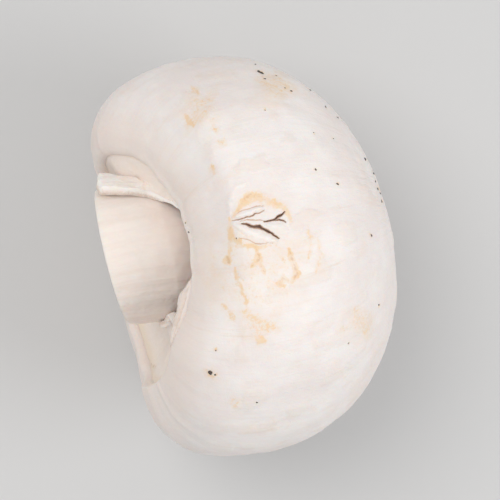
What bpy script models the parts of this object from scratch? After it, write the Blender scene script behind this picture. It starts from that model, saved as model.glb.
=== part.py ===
"""A white button mushroom as picked, lying on its side, with its stem trimmed short.

Four pieces: the cap, the gills under it, the stem, and the veil that spans from the cap's rim to the stem.
Each is drawn in the mushroom's own frame, with the crown up +Z and the middle of the cap's widest ring at
the origin, and an empty then lays the mushroom down. Angles round the axis start at +X, the side that
ends up underneath, so 180 degrees is the side that faces up and 90 degrees the side that faces +Y.
"""

import math

import bmesh
import bpy
from mathutils import Matrix, Vector

MM = 0.001

# The cap
CAP_DIAMETER = 52 * MM
CROWN_HEIGHT = 21.2 * MM
MARGIN_DROP = 14.4 * MM
MARGIN_RADIUS = 17 * MM
CROWN_FULLNESS = 2.15
SHOULDER_FULLNESS = 2.3
LIP_THICKNESS = 2.8 * MM
OVAL_SHARE = 0.012
LUMP_SHARE = 0.008
LIP_BULGE = 1.6 * MM
LIP_BULGE_AT = math.radians(112)
LIP_BULGE_SPREAD = math.radians(24)
LIP_BULGE_REACH = 4 * MM
LIP_TUCK = 2.8 * MM
LIP_TUCK_AT = math.radians(268)
LIP_TUCK_SPREAD = math.radians(42)
LIP_TUCK_REACH = 7 * MM

# The margin hangs low on its two sides, and is drawn back on the side that faces up and on the one beneath
UPPER_LIFT = 6 * MM
UPPER_LIFT_AT = math.radians(155)
UPPER_LIFT_SPREAD = math.radians(47)
UNDER_LIFT = 3.6 * MM
UNDER_LIFT_AT = math.radians(8)
UNDER_LIFT_SPREAD = math.radians(64)
MARGIN_RIPPLE = 0.3 * MM

# The chamber under the cap, which holds the gills
CHAMBER_RADIUS = 21 * MM
CHAMBER_ROOF = 1 * MM

# The gills
GILL_COUNT = 60
GILL_STEPS = 4
GILL_ROOT_THICKNESS = 0.9 * MM
GILL_EDGE_THICKNESS = 0.64 * MM
GILL_BED_THICKNESS = 0.8 * MM
GILL_BED_SAG = 1.9 * MM
GILL_INNER_RADIUS = 12.4 * MM
GILL_OUTER_RADIUS = 19.4 * MM
GILL_DEPTH = 5.2 * MM
SHORT_GILL_START = 0.45
SHORT_GILL_STUB = 0.3 * MM

# The stem, which drifts off the cap's axis inside the cap, and bends and leans below it
STEM_RADIUS = 9.5 * MM
STEM_TOP_RADIUS = 8.4 * MM
STEM_FLARE = 14 * MM
STEM_OVAL = 0.02
STEM_DRIFT_X = -1.5 * MM
STEM_DRIFT_Y = 2.6 * MM
STEM_BEND = math.radians(5)
STEM_LEAN = math.radians(6)
BEND_START = -7 * MM
BEND_LENGTH = 12 * MM
CUT_X = -14.1 * MM
CUT_TURN = math.radians(4)

# The veil: it reaches the stem on most sides, sheathes one side of it down to the cut, and has torn off above
VEIL_THICKNESS = 0.8 * MM
VEIL_HOLD_FROM = math.radians(-140)
VEIL_HOLD_TO = math.radians(157)
VEIL_HOLD_FADE = math.radians(24)
VEIL_SAG = 1.5 * MM
VEIL_SAG_AT = 0.6
VEIL_EDGE_RISE = 3.4 * MM
VEIL_TOUCH = 1.2 * MM
VEIL_TOP = -7.5 * MM
VEIL_SHEATH = 12 * MM
VEIL_SHEATH_AT = math.radians(85)
VEIL_SHEATH_SPREAD = math.radians(50)
VEIL_SHEATH_SWELL = 0.6 * MM
VEIL_SHEATH_SLACK = 0.12 * MM
VEIL_TRIM = 0.5 * MM
TORN_WIDTH = 1.7 * MM
TORN_RISE = 0.9 * MM

# How the mushroom lies: its crown dips by this tilt, and its cap has a small flat where it rests
LIE_TILT = math.radians(15)
REST_DEPTH = 1.4 * MM

# Room between pieces that touch
GAP = 0.3 * MM

# How finely each piece is drawn
CAP_SIDES = 64
STEM_SIDES = 48
VEIL_SIDES = 64
CROWN_STEPS = 10
SHOULDER_STEPS = 7
LIP_STEPS = 4
STEM_STEPS = 7
STEM_STEP = 1.7 * MM


def smooth(share):
    """0 at 0 and 1 at 1, with no corner at either end."""
    share = min(1.0, max(0.0, share))
    return share * share * (3 - 2 * share)


def polar(radius, angle, height):
    """A point at that radius, angle and height in the mushroom's own frame."""
    return Vector((radius * math.cos(angle), radius * math.sin(angle), height))


def angles_round(count):
    return [2 * math.pi * k / count for k in range(count)]


def rounds(power, steps):
    """(across, along) round a quarter of a superellipse, from (1, 0) to (0, 1)."""
    corners = [math.pi / 2 * k / steps for k in range(steps + 1)]
    return [
        (max(0.0, math.cos(a)) ** (2 / power), max(0.0, math.sin(a)) ** (2 / power))
        for a in corners
    ]


def bump(angle, centre, spread, power=2):
    """A hill round the axis, 1 at its centre. A higher power makes its top flat and its sides steep."""
    away = abs(math.remainder(angle - centre, 2 * math.pi))
    return math.exp(-((away / spread) ** power))


def girth(angle):
    """How much wider than round the cap is at that angle."""
    oval = OVAL_SHARE * -math.cos(2 * angle)
    lumps = LUMP_SHARE * math.cos(3 * angle + 0.6)
    return 1 + oval + lumps


def margin_rise(angle):
    """How far the margin is drawn back towards the crown at that angle."""
    upper = UPPER_LIFT * bump(angle, UPPER_LIFT_AT, UPPER_LIFT_SPREAD, power=4)
    under = UNDER_LIFT * bump(angle, UNDER_LIFT_AT, UNDER_LIFT_SPREAD, power=4)
    return upper + under + MARGIN_RIPPLE * math.cos(5 * angle - 1.3)


def cap_point(radius, height, angle):
    """Where a point of the cap's turned profile lies, once the cap is out of round and its margin wavy."""
    out = min(1.0, radius / MARGIN_RADIUS)
    rimward = smooth(-height / MARGIN_DROP) * out * out
    from_lip = abs(radius - MARGIN_RADIUS)
    bulge = LIP_BULGE * bump(angle, LIP_BULGE_AT, LIP_BULGE_SPREAD) * max(0.0, 1 - from_lip / LIP_BULGE_REACH)
    tuck = LIP_TUCK * bump(angle, LIP_TUCK_AT, LIP_TUCK_SPREAD) * max(0.0, 1 - from_lip / LIP_TUCK_REACH)
    moved = radius * girth(angle) + (bulge - tuck) * rimward
    return polar(moved, angle, height + margin_rise(angle) * rimward)


def outer_profile():
    """(radius, height) of the cap's skin, from the crown over the widest ring to the margin's foot."""
    half = CAP_DIAMETER / 2
    crown = [(half * x, CROWN_HEIGHT * y) for x, y in reversed(rounds(CROWN_FULLNESS, CROWN_STEPS))]
    shoulder = [
        (MARGIN_RADIUS + (half - MARGIN_RADIUS) * x, -MARGIN_DROP * y)
        for x, y in rounds(SHOULDER_FULLNESS, SHOULDER_STEPS)
    ]
    return crown + shoulder[1:]


def lip_profile():
    """(radius, height) of the margin's inrolled lip, from its foot round to its inner side."""
    bead = LIP_THICKNESS / 2
    turns = [math.radians(-90 - 150 * k / LIP_STEPS) for k in range(1, LIP_STEPS + 1)]
    return [
        (MARGIN_RADIUS + bead * math.cos(a), -MARGIN_DROP + bead + bead * math.sin(a)) for a in turns
    ]


def chamber_profile():
    """(radius, height) of the inside of the cap, from the lip up the wall and along the roof."""
    wall = [
        (CHAMBER_RADIUS - 2.8 * MM, -10.2 * MM),
        (CHAMBER_RADIUS - 0.9 * MM, -8 * MM),
        (CHAMBER_RADIUS, -5.4 * MM),
        (CHAMBER_RADIUS - 0.3 * MM, -3 * MM),
    ]
    roof = [
        (CHAMBER_RADIUS - 1.3 * MM, CHAMBER_ROOF - 1.6 * MM),
        (CHAMBER_RADIUS - 4 * MM, CHAMBER_ROOF - 0.3 * MM),
        (CHAMBER_RADIUS - 7 * MM, CHAMBER_ROOF),
        (STEM_TOP_RADIUS, CHAMBER_ROOF),
        (0.0, CHAMBER_ROOF),
    ]
    return wall + roof


def skin_of(name, sections, ring):
    """A closed mesh through sections set round the axis: each a closed ring, or a line from pole to pole."""
    mesh = bmesh.new()
    columns = [[mesh.verts.new(p) for p in section] for section in sections]
    length = len(columns[0])
    last = length if ring else length - 1
    for k, column in enumerate(columns):
        after = columns[(k + 1) % len(columns)]
        for j in range(last):
            n = (j + 1) % length
            mesh.faces.new((column[j], column[n], after[n], after[j]))
    bmesh.ops.remove_doubles(mesh, verts=mesh.verts, dist=1e-6)
    bmesh.ops.recalc_face_normals(mesh, faces=mesh.faces)
    data = bpy.data.meshes.new(name)
    mesh.to_mesh(data)
    mesh.free()
    data.shade_smooth()
    data.set_sharp_from_angle(angle=math.radians(40))
    return data


def finish_of(name, colour, roughness):
    """A Principled material of one colour."""
    material = bpy.data.materials.new(name)
    material.use_nodes = True
    shader = material.node_tree.nodes["Principled BSDF"]
    shader.inputs["Base Color"].default_value = (*colour, 1)
    shader.inputs["Roughness"].default_value = roughness
    shader.inputs["Metallic"].default_value = 0.0
    return material


def add_piece(name, data, material, pose):
    piece = bpy.data.objects.new(name, data)
    bpy.context.scene.collection.objects.link(piece)
    data.materials.append(material)
    piece.parent = pose
    return piece


def build_cap(pose):
    """The cap: a domed crown, round shoulders, an inrolled margin, and the chamber that holds the gills."""
    profile = outer_profile() + lip_profile() + chamber_profile()
    sections = [[cap_point(r, z, a) for r, z in profile] for a in angles_round(CAP_SIDES)]
    material = finish_of("cap_flesh", (0.86, 0.80, 0.76), 0.55)
    return add_piece("cap", skin_of("cap", sections, ring=False), material, pose)


def gill_bed(share):
    """(radius, height) of the gills' bed at that share of the way out, just under the chamber's roof."""
    radius = GILL_INNER_RADIUS + (GILL_OUTER_RADIUS - GILL_INNER_RADIUS) * share
    sag = GILL_BED_SAG * max(0.0, (share - 0.25) / 0.75) ** 2
    return radius, CHAMBER_ROOF - GAP - sag


def gill_depth(share, short):
    """How deep a gill hangs at that share of the way out. A short gill starts part of the way out."""
    if short and share < SHORT_GILL_START:
        return SHORT_GILL_STUB
    return GILL_DEPTH * (0.55 + 0.45 * math.sin(math.pi * min(1.0, share * 0.9 + 0.12)))


def gill_section(angle, short, side, hangs):
    """One cut through the ring of gills: along a gill's face if it hangs, or else along its root beside it."""
    half = (GILL_EDGE_THICKNESS if hangs else GILL_ROOT_THICKNESS) / 2
    upper, lower = [], []
    for step in range(GILL_STEPS + 1):
        share = step / GILL_STEPS
        radius, height = gill_bed(share)
        turn = angle + side * half / radius
        under = height - GILL_BED_THICKNESS
        if hangs:
            under -= gill_depth(share, short)
        upper.append(cap_point(radius, height, turn))
        lower.append(cap_point(radius, under, turn))
    return upper + lower[::-1]


def build_gills(pose):
    """The gills: a ring of thin blades, long and short by turns, hanging from one bed."""
    sections = []
    for k, angle in enumerate(angles_round(GILL_COUNT)):
        short = k % 2 == 1
        for side, hangs in ((-1, False), (-1, True), (1, True), (1, False)):
            sections.append(gill_section(angle, short, side, hangs))
    material = finish_of("gill_flesh", (0.55, 0.36, 0.30), 0.7)
    return add_piece("gills", skin_of("gills", sections, ring=True), material, pose)


def spine(height):
    """(centre, bend) of the stem at that height: it drifts aside in the cap, and bends and leans below it."""
    drift = smooth((CHAMBER_ROOF - height) / (CHAMBER_ROOF - BEND_START))
    down = max(0.0, BEND_START - height)
    bend_radius = BEND_LENGTH / STEM_BEND
    bend = min(STEM_BEND, math.asin(min(1.0, down / bend_radius)))
    straight = down - bend_radius * math.sin(bend)
    x = STEM_DRIFT_X * drift + bend_radius * (1 - math.cos(bend)) + straight * math.tan(bend)
    y = STEM_DRIFT_Y * drift + down * math.tan(STEM_LEAN)
    return Vector((x, y, height)), bend


def stem_radius(height, angle):
    """The stem's radius: waisted under the cap, fuller at the foot, and not quite round."""
    share = smooth((CHAMBER_ROOF - height) / STEM_FLARE)
    size = STEM_TOP_RADIUS + (STEM_RADIUS - STEM_TOP_RADIUS) * share
    return size * (1 + STEM_OVAL * math.cos(2 * angle + 0.8) + STEM_OVAL / 2 * math.cos(3 * angle))


def stem_point(height, angle, out=0.0):
    """A point on the stem's side, or as far outside it as out says."""
    centre, bend = spine(height)
    radius = stem_radius(height, angle) + out
    across = Vector((math.cos(bend), 0, math.sin(bend)))
    side = Vector((0, 1, 0))
    return centre + across * radius * math.cos(angle) + side * radius * math.sin(angle)


def cut_plane(lay):
    """(point, normal) of the knife cut, in the mushroom's own frame. It faces -X and a little down."""
    back = lay.inverted()
    point = back @ Vector((CUT_X, 0, 0))
    normal = back @ Vector((-math.cos(CUT_TURN), 0, -math.sin(CUT_TURN)))
    return point, normal


def build_stem(pose, cut):
    """The stem: it meets the cap's flesh inside the ring of gills and ends in a flat knife cut."""
    point, normal = cut
    top = CHAMBER_ROOF - GAP
    heights = [top - STEM_STEP * k for k in range(STEM_STEPS)]
    along = Vector((math.tan(STEM_BEND), math.tan(STEM_LEAN), -1))
    sections = []
    for angle in angles_round(STEM_SIDES):
        side = [stem_point(h, angle) for h in heights]
        last = side[-1]
        foot = last + along * ((point - last).dot(normal) / along.dot(normal))
        runs = [last.lerp(foot, share) for share in (0.5, 1.0)]
        sections.append([Vector((0, 0, top))] + side + runs)
    middle = sum((s[-1] for s in sections), Vector()) / len(sections)
    for section in sections:
        section.append(middle.copy())
    material = finish_of("stem_flesh", (0.84, 0.74, 0.67), 0.65)
    return add_piece("stem", skin_of("stem", sections, ring=False), material, pose)


def hold(angle):
    """1 where the veil still reaches the stem, 0 where it has torn off and hangs from the rim."""
    middle = (VEIL_HOLD_FROM + VEIL_HOLD_TO) / 2
    half = (VEIL_HOLD_TO - VEIL_HOLD_FROM) / 2
    away = abs(math.remainder(angle - middle, 2 * math.pi))
    return smooth((half - away) / VEIL_HOLD_FADE)


def sheathing(angle):
    """1 on the side where the veil runs down the stem, and 0 on the others."""
    return bump(angle, VEIL_SHEATH_AT, VEIL_SHEATH_SPREAD, power=8)


def veil_heights(angle, cut):
    """(touch, edge) of the veil on the stem: where it comes to the stem, and where it ends, short of the cut."""
    point, normal = cut
    rise = cap_point(MARGIN_RADIUS, -MARGIN_DROP, angle).z + VEIL_EDGE_RISE
    touch = min(rise + VEIL_TOUCH, VEIL_TOP)
    sheath = VEIL_SHEATH * sheathing(angle)
    edge = min(rise - sheath, touch - VEIL_TOUCH)
    past_cut = (stem_point(edge, angle) - point).dot(normal) + VEIL_TRIM
    return touch, edge + max(0.0, past_cut)


def veil_line(angle, cut):
    """The middle line of the veil at that angle: in from the lip, sagging into the cap, and along the stem."""
    inward = polar(-1.0, angle, 0.0)
    lip = cap_point(MARGIN_RADIUS - LIP_THICKNESS / 2, -MARGIN_DROP + LIP_THICKNESS / 2, angle)
    start = lip + inward * (GAP + VEIL_THICKNESS / 2)
    torn = start + inward * TORN_WIDTH + Vector((0, 0, TORN_RISE))
    held = hold(angle)
    touch_height, edge_height = veil_heights(angle, cut)
    clear = GAP + VEIL_THICKNESS / 2 + VEIL_SHEATH_SLACK * sheathing(angle)
    touch = start.lerp(torn, 0.7).lerp(stem_point(touch_height, angle, out=clear), held)
    end = torn.lerp(stem_point(edge_height, angle, out=clear), held)
    sagged = start.lerp(touch, VEIL_SAG_AT)
    sagged.z += VEIL_SAG * held
    rounded = start.lerp(sagged, 0.5)
    rounded.z += VEIL_SAG / 4 * held
    return [start, rounded, sagged, touch, end]


def veil_section(angle, cut):
    """A closed cut through the veil at that angle. It is thicker where it sheathes the stem."""
    spots = veil_line(angle, cut)
    swell = VEIL_SHEATH_SWELL * sheathing(angle)
    sideways = Vector((math.sin(angle), -math.cos(angle), 0))
    inner, outer = [], []
    for k, spot in enumerate(spots):
        before = spots[max(k - 1, 0)]
        after = spots[min(k + 1, len(spots) - 1)]
        across = (after - before).normalized().cross(sideways).normalized()
        on_stem = k >= len(spots) - 2
        inner.append(spot + across * VEIL_THICKNESS / 2)
        outer.append(spot - across * (VEIL_THICKNESS / 2 + (swell if on_stem else 0)))
    return inner + outer[::-1]


def build_veil(pose, cut):
    """The veil: a thin skirt between the cap's rim and the stem, torn free of the stem on one side."""
    sections = [veil_section(a, cut) for a in angles_round(VEIL_SIDES)]
    material = finish_of("veil_skin", (0.85, 0.76, 0.69), 0.6)
    return add_piece("veil", skin_of("veil", sections, ring=True), material, pose)


def world_points(piece):
    return [piece.matrix_world @ v.co for v in piece.data.vertices]


def set_down(pose, pieces):
    """Moves the mushroom so that the middle of its box is over the origin and its flat is on Z = 0."""
    bpy.context.view_layer.update()
    points = [p for piece in pieces for p in world_points(piece)]
    lows = [min(p[k] for p in points) for k in range(3)]
    highs = [max(p[k] for p in points) for k in range(3)]
    pose.location = (-(lows[0] + highs[0]) / 2, -(lows[1] + highs[1]) / 2, -lows[2] - REST_DEPTH)


def add_rest_flat(cap):
    """Cuts away what of the cap would reach below Z = 0, which leaves the flat that it rests on."""
    side = 2 * CAP_DIAMETER
    mesh = bmesh.new()
    bmesh.ops.create_cube(mesh, size=side)
    data = bpy.data.meshes.new("rest_cutter")
    mesh.to_mesh(data)
    mesh.free()
    cutter = bpy.data.objects.new("rest_cutter", data)
    bpy.context.scene.collection.objects.link(cutter)
    cutter.location.z = -side / 2
    cutter.hide_render = True
    cutter.display_type = "WIRE"
    cut = cap.modifiers.new("rest_flat", "BOOLEAN")
    cut.operation = "DIFFERENCE"
    cut.object = cutter


def build_mushroom():
    for old in list(bpy.data.objects):
        bpy.data.objects.remove(old)
    lay = Matrix.Rotation(math.pi / 2 + LIE_TILT, 3, "Y")
    pose = bpy.data.objects.new("lying_pose", None)
    bpy.context.scene.collection.objects.link(pose)
    pose.rotation_euler = lay.to_euler()
    cap = build_cap(pose)
    cut = cut_plane(lay)
    pieces = [cap, build_gills(pose), build_stem(pose, cut), build_veil(pose, cut)]
    set_down(pose, pieces)
    add_rest_flat(cap)


build_mushroom()
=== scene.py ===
"""The looks of a white button mushroom that lies on its side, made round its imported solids.

The file is laid out as an add-on and run as a script. Shapes are worked out in the mushroom's own frame,
with the crown up +Z and the middle of the cap's widest ring at the origin, and laid_down() then puts them
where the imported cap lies. Angles round the axis start at +X, the side that ends up underneath, so 180
degrees is the side that faces up and 90 degrees the side that faces +Y. Lengths are metres.
"""

from math import cos, pi, radians, sin, tan

import bmesh
import bpy
import numpy as np
from bpy.props import FloatProperty, FloatVectorProperty, IntProperty, PointerProperty
from mathutils import Matrix, Vector


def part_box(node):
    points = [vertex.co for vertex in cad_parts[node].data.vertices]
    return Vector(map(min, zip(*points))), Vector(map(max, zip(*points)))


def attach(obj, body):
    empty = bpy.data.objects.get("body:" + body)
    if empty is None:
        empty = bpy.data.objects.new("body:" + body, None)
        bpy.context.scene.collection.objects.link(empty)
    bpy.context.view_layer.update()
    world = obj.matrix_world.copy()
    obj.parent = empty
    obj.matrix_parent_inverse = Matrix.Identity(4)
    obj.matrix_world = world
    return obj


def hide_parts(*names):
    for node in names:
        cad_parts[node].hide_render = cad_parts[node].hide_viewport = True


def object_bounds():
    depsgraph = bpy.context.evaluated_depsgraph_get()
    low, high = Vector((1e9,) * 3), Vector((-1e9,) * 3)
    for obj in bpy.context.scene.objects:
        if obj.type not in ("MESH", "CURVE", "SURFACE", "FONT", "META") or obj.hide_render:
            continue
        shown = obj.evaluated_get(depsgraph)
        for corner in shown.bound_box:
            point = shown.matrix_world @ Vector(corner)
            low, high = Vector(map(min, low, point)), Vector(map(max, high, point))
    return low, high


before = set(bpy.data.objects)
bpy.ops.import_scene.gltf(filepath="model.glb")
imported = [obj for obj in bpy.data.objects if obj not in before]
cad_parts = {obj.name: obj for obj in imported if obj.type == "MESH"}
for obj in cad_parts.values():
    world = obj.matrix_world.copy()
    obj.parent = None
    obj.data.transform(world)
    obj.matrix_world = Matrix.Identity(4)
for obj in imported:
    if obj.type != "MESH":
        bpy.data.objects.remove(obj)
CAD_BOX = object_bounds()

bl_info = {
    "name": "Button mushroom",
    "version": (1, 0, 0),
    "blender": (4, 5, 0),
    "location": "3D View > Sidebar > Mushroom",
    "description": "Makes a white button mushroom lying on its side, piece by piece",
    "category": "Add Mesh",
}

MM = 0.001
BODY = "root"

# What the camera sees, in millimetres to the right of and above the middle of the scar on the cap. Each line
# is its points, its half-width, and its depth, height or strength.
VEIL_CREASES = (
    (((-16.9, -14.6), (-16.5, -16.2), (-15.7, -17.8), (-14.2, -18.9)), 0.3, 0.9),
    (((-14.5, -18.7), (-13.6, -19.1)), 0.55, 0.6),
    (((-13.0, -16.0), (-12.6, -17.6)), 0.3, 0.45),
)
SCAR_SLITS = (
    (((-3.5, 0.35), (-1.6, 0.8), (0.6, 1.5)), 0.09, 0.35),
    (((-2.1, -0.1), (-0.1, -0.4), (1.1, -1.0), (2.3, -1.9)), 0.18, 0.9),
    (((0.5, 0.2), (1.7, 0.5), (3.1, 1.4)), 0.19, 0.8),
    (((1.3, 0.4), (2.4, 0.4), (3.3, 0.0)), 0.14, 0.6),
    (((-2.9, 1.3), (-1.6, 1.9), (0.5, 2.2)), 0.07, 0.14),
    (((-2.4, 0.35), (-0.8, 0.5), (0.6, 0.3)), 0.08, 0.16),
    (((-2.7, -1.7), (-0.4, -2.5), (1.7, -2.5)), 0.07, 0.12),
)
SCAR_RIDGES = (
    (((-3.4, 0.8), (-1.0, 1.5), (0.7, 2.0)), 0.45, 0.22),
    (((-3.2, 0.0), (-1.6, -0.9), (0.2, -1.7), (2.0, -2.3)), 0.85, 0.3),
    (((-3.8, 1.0), (-3.8, 2.8), (-3.0, 4.4), (-1.8, 5.0)), 0.6, 0.12),
    (((1.0, -0.2), (2.4, -0.6), (3.6, -0.9)), 0.5, 0.2),
    (((4.6, 0.8), (5.4, -1.4), (5.2, -3.6)), 0.5, 0.07),
)
SCAR_HOLLOW = (((-2.6, 0.4), (2.6, 0.0)), 4.5, 0.3)
SCAR_STAINS = (
    (((-3.3, 0.9), (-2.2, 2.6), (-0.6, 3.3), (1.6, 2.6), (3.2, 1.9), (3.9, 0.2)), 0.4, 0.8),
    (((-1.9, 2.9), (-0.9, 3.6)), 0.5, 1.0),
    (((-3.8, 0.6), (-3.5, -1.6), (-3.9, -4.2)), 0.3, 0.85),
    (((-4.1, -4.3), (-3.8, -5.2)), 0.45, 1.2),
    (((-3.0, -1.9), (-2.4, -2.6)), 0.35, 0.9),
    (((-3.0, -5.6), (-2.6, -7.6), (-1.8, -9.6)), 0.26, 0.6),
    (((-0.4, -3.0), (-0.1, -4.5), (-1.1, -5.6)), 0.3, 1.1),
    (((-0.1, -4.6), (0.7, -6.3)), 0.26, 0.95),
    (((3.7, -3.2), (4.0, -4.6), (4.7, -6.2), (4.1, -7.4)), 0.34, 1.15),
    (((4.1, -7.4), (3.0, -6.9), (2.4, -7.6), (3.3, -7.9)), 0.28, 1.0),
    (((-3.0, -2.9), (0.4, -2.9), (1.5, -2.8)), 0.26, 0.8),
    (((-4.8, -10.3), (-3.8, -11.0), (-3.2, -12.3)), 0.34, 0.55),
    (((-1.8, -9.6), (-1.7, -10.4)), 0.34, 0.8),
    (((-1.9, -11.0), (-0.4, -12.4), (2.0, -13.2)), 0.9, 0.4),
    (((-0.6, -14.3), (0.5, -14.8)), 0.45, 0.75),
    (((5.9, -0.2), (6.6, -2.4), (5.9, -5.1)), 0.2, 0.4),
    (((7.3, -2.0), (7.8, -4.0), (7.1, -6.3)), 0.2, 0.3),
    (((-8.7, 17.4), (-7.9, 16.6)), 0.35, 0.6),
    (((-9.4, 13.8), (-9.1, 13.0), (-8.4, 12.2)), 0.3, 0.65),
    (((-5.8, 12.2), (-5.5, 11.4)), 0.35, 0.4),
    (((-5.2, 10.3), (-4.2, 9.9)), 0.35, 0.45),
    (((-6.1, 7.3), (-5.8, 6.2)), 0.3, 0.6),
    (((-8.0, 14.9), (-6.6, 14.0)), 1.8, 0.3),
    (((12.2, -11.0), (13.6, -13.9)), 0.8, 0.35),
    (((10.7, -13.2), (10.8, -13.6)), 0.4, 0.4),
    (((-3.4, -22.2), (-3.2, -23.2)), 0.6, 0.3),
    (((0.6, 18.4), (3.9, 17.2)), 1.3, 0.35),
    (((-2.4, -2.6), (-1.2, -6.2), (0.8, -10.5)), 2.6, 0.1),
    (((1.5, -3.0), (3.2, -6.0)), 2.0, 0.1),
)
# A nub on the edge of the veil's band: (right, up)
SHEATH_NUB = (-15.3, 4.9)
# Casing soil: (right, up, size) of each crumb
SOIL_CRUMBS = (
    (0.1, 19.6, 0.55), (0.7, 18.7, 0.24), (-0.5, 21.0, 0.2), (2.2, 19.2, 0.18), (3.3, 17.5, 0.22),
    (4.1, 17.1, 0.3), (6.7, 17.6, 0.22), (8.6, 15.2, 0.22), (10.3, 14.0, 0.24), (0.7, 14.4, 0.14),
    (6.9, 11.6, 0.14), (9.5, 10.9, 0.16), (7.1, 6.8, 0.24), (9.9, 5.0, 0.22), (14.0, 8.6, 0.42),
    (14.9, 6.6, 0.26), (15.2, 5.6, 0.22), (15.5, 4.6, 0.36), (15.7, 4.0, 0.28), (16.0, 3.0, 0.3),
    (14.3, -1.5, 0.28), (15.3, -10.4, 0.22), (11.3, -15.2, 0.18), (-5.5, -16.0, 0.22), (-6.2, -18.8, 0.58),
    (-5.6, -19.1, 0.2), (-0.3, -22.7, 0.2), (-2.9, -1.9, 0.14), (-9.0, -1.1, 0.22), (-9.4, 0.1, 0.18),
)

# Where the scar is on the cap: its angle round the axis, and its height over the widest ring
SCAR_ANGLE, SCAR_HEIGHT = radians(173), -1.5 * MM
# How far round the axis and how far across the profile the lip stands off, and is rolled in
LIP_BULGE_SPREAD, LIP_BULGE_REACH = radians(24), 4 * MM
LIP_TUCK_SPREAD, LIP_TUCK_REACH = radians(42), 7 * MM
# The chamber's wall in millimetres: how far in from its widest, and the height or the depth under the roof
CHAMBER_WALL = ((2.8, -10.2), (0.9, -8.0), (0.0, -5.4), (0.3, -3.0))
CHAMBER_VAULT = ((1.3, 1.6), (4.0, 0.3), (7.0, 0.0))
# Where gills start, from 0 at the innermost place to 1 at the outermost, in turn
GILL_STARTS = (0.0, 0.62, 0.35, 0.62)
# How far round the veil goes over from held to torn, and how far round its valley is shallower
TEAR_SPREAD, FILLED_SPREAD = radians(24), radians(38)
# Where the torn shreds hang, and a lone tuft
SHREDS_FROM, SHREDS_MIDDLE, SHREDS_TO = radians(176), radians(205), radians(236)
TUFT_AT = radians(163)
# The ring that noise round the veil is read on, and how far from its edge the veil starts to round off
NOISE_RADIUS, EDGE_ROUNDING = 15 * MM, 0.55 * MM

# Layers of relief: height and size in millimetres, the noise's seed, and its octaves where they aren't 3
CAP_LUMPS = ((0.24, 13, 3), (0.07, 4, 11), (0.025, 1.2, 14))
CAP_FIBRES = (0.035, 1.6, 17)
MARGIN_WAVES = (0.28, 4, 21)
STEM_FIBRES = (0.07, 1.5, 41, 4)
STEM_WAVES = (0.16, 7, 51)
STEM_GRAIN = (0.03, 0.8, 61)
CUT_WAVES = (0.1, 4, 81)
PITH_GRAIN = (0.05, 0.7, 85)
VEIL_COTTON = ((0.05, 0.8, 101), (0.14, 3.5, 111, 2))
# Other relief, in millimetres
FLAKE_HEIGHT, KNIFE_MARK_HEIGHT, CUT_DISH, CUT_ROUNDING = 0.09, 0.03, 0.3, 0.35
NUB_HEIGHT, CREASE_DEPTH = 0.4, 0.12
FIRST_CRUMB_SEED = 7
# Large numbers that scatter the corners of the noise's grid
SCATTER = (73856093, 19349663, 83492791)


def settings():
    return bpy.context.scene.mushroom


def smooth(share):
    """0 at 0 and 1 at 1, with no corner at either end."""
    share = np.clip(share, 0.0, 1.0)
    return share * share * (3 - 2 * share)


def rising(value, start, length):
    """0 up to start, 1 from that length past it on, and smooth between."""
    return smooth((value - start) / length)


def turned_from(angle, centre):
    """How far round the axis each angle is from centre, the shorter way."""
    return np.abs((angle - centre + pi) % (2 * pi) - pi)


def bump(angle, centre, spread, power=2):
    """A hill round the axis, 1 at its centre. A higher power makes its top flat and its sides steep."""
    return np.exp(-((turned_from(angle, centre) / spread) ** power))


def joined(*parts):
    """Points, from their numbers along each axis."""
    return np.stack(np.broadcast_arrays(*parts), axis=-1)


def polar(radius, angle, height):
    return joined(radius * np.cos(angle), radius * np.sin(angle), height)


def unit(vectors):
    return vectors / np.linalg.norm(vectors, axis=-1, keepdims=True)


def noise(points, size, seed):
    """Smooth noise between -1 and 1 at each point, with features of about that size."""
    places = points / size
    corner = np.floor(places).astype(np.int64)
    within = places - corner
    ease = within * within * within * (within * (within * 6 - 15) + 10)
    total = 0.0
    for offset in np.ndindex(2, 2, 2):
        x, y, z = np.moveaxis((corner + np.array(offset)) * np.array(SCATTER), -1, 0)
        mixed = ((x ^ y ^ z ^ seed * 2654435761) & 0xFFFFFFFF) * 1274126177
        mixed = ((mixed ^ (mixed >> 15)) & 0xFFFFFFFF) * 2246822519
        value = ((mixed ^ (mixed >> 13)) & 0xFFFFFF) / 0xFFFFFF * 2 - 1
        weight = np.where(np.array(offset) == 1, ease, 1 - ease).prod(axis=-1)
        total = total + weight * value
    return total


def rough(points, size, seed, octaves=3):
    """Noise with finer and fainter noise on it."""
    return sum(noise(points, size / 2**k, seed + k) / 2**k for k in range(octaves))


def layered(points, *layers):
    """Noise in layers like CAP_LUMPS, in millimetres."""
    return sum(height * rough(points, size * MM, *seeding) for height, size, *seeding in layers)


def shaken(spots, points, reach, size, *seeds):
    """The spots, each moved by noise at its point: up to about reach along both axes."""
    return spots + reach * joined(*(rough(points, size * MM, seed) for seed in seeds))


def margin_rise(cap, angle):
    """How far the margin is drawn back towards the crown at that angle."""
    upper = cap.upper_lift * bump(angle, cap.upper_lift_at, cap.upper_lift_spread, power=4)
    under = cap.under_lift * bump(angle, cap.under_lift_at, cap.under_lift_spread, power=4)
    return upper + under + cap.margin_ripple * np.cos(5 * angle - 1.3)


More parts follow.
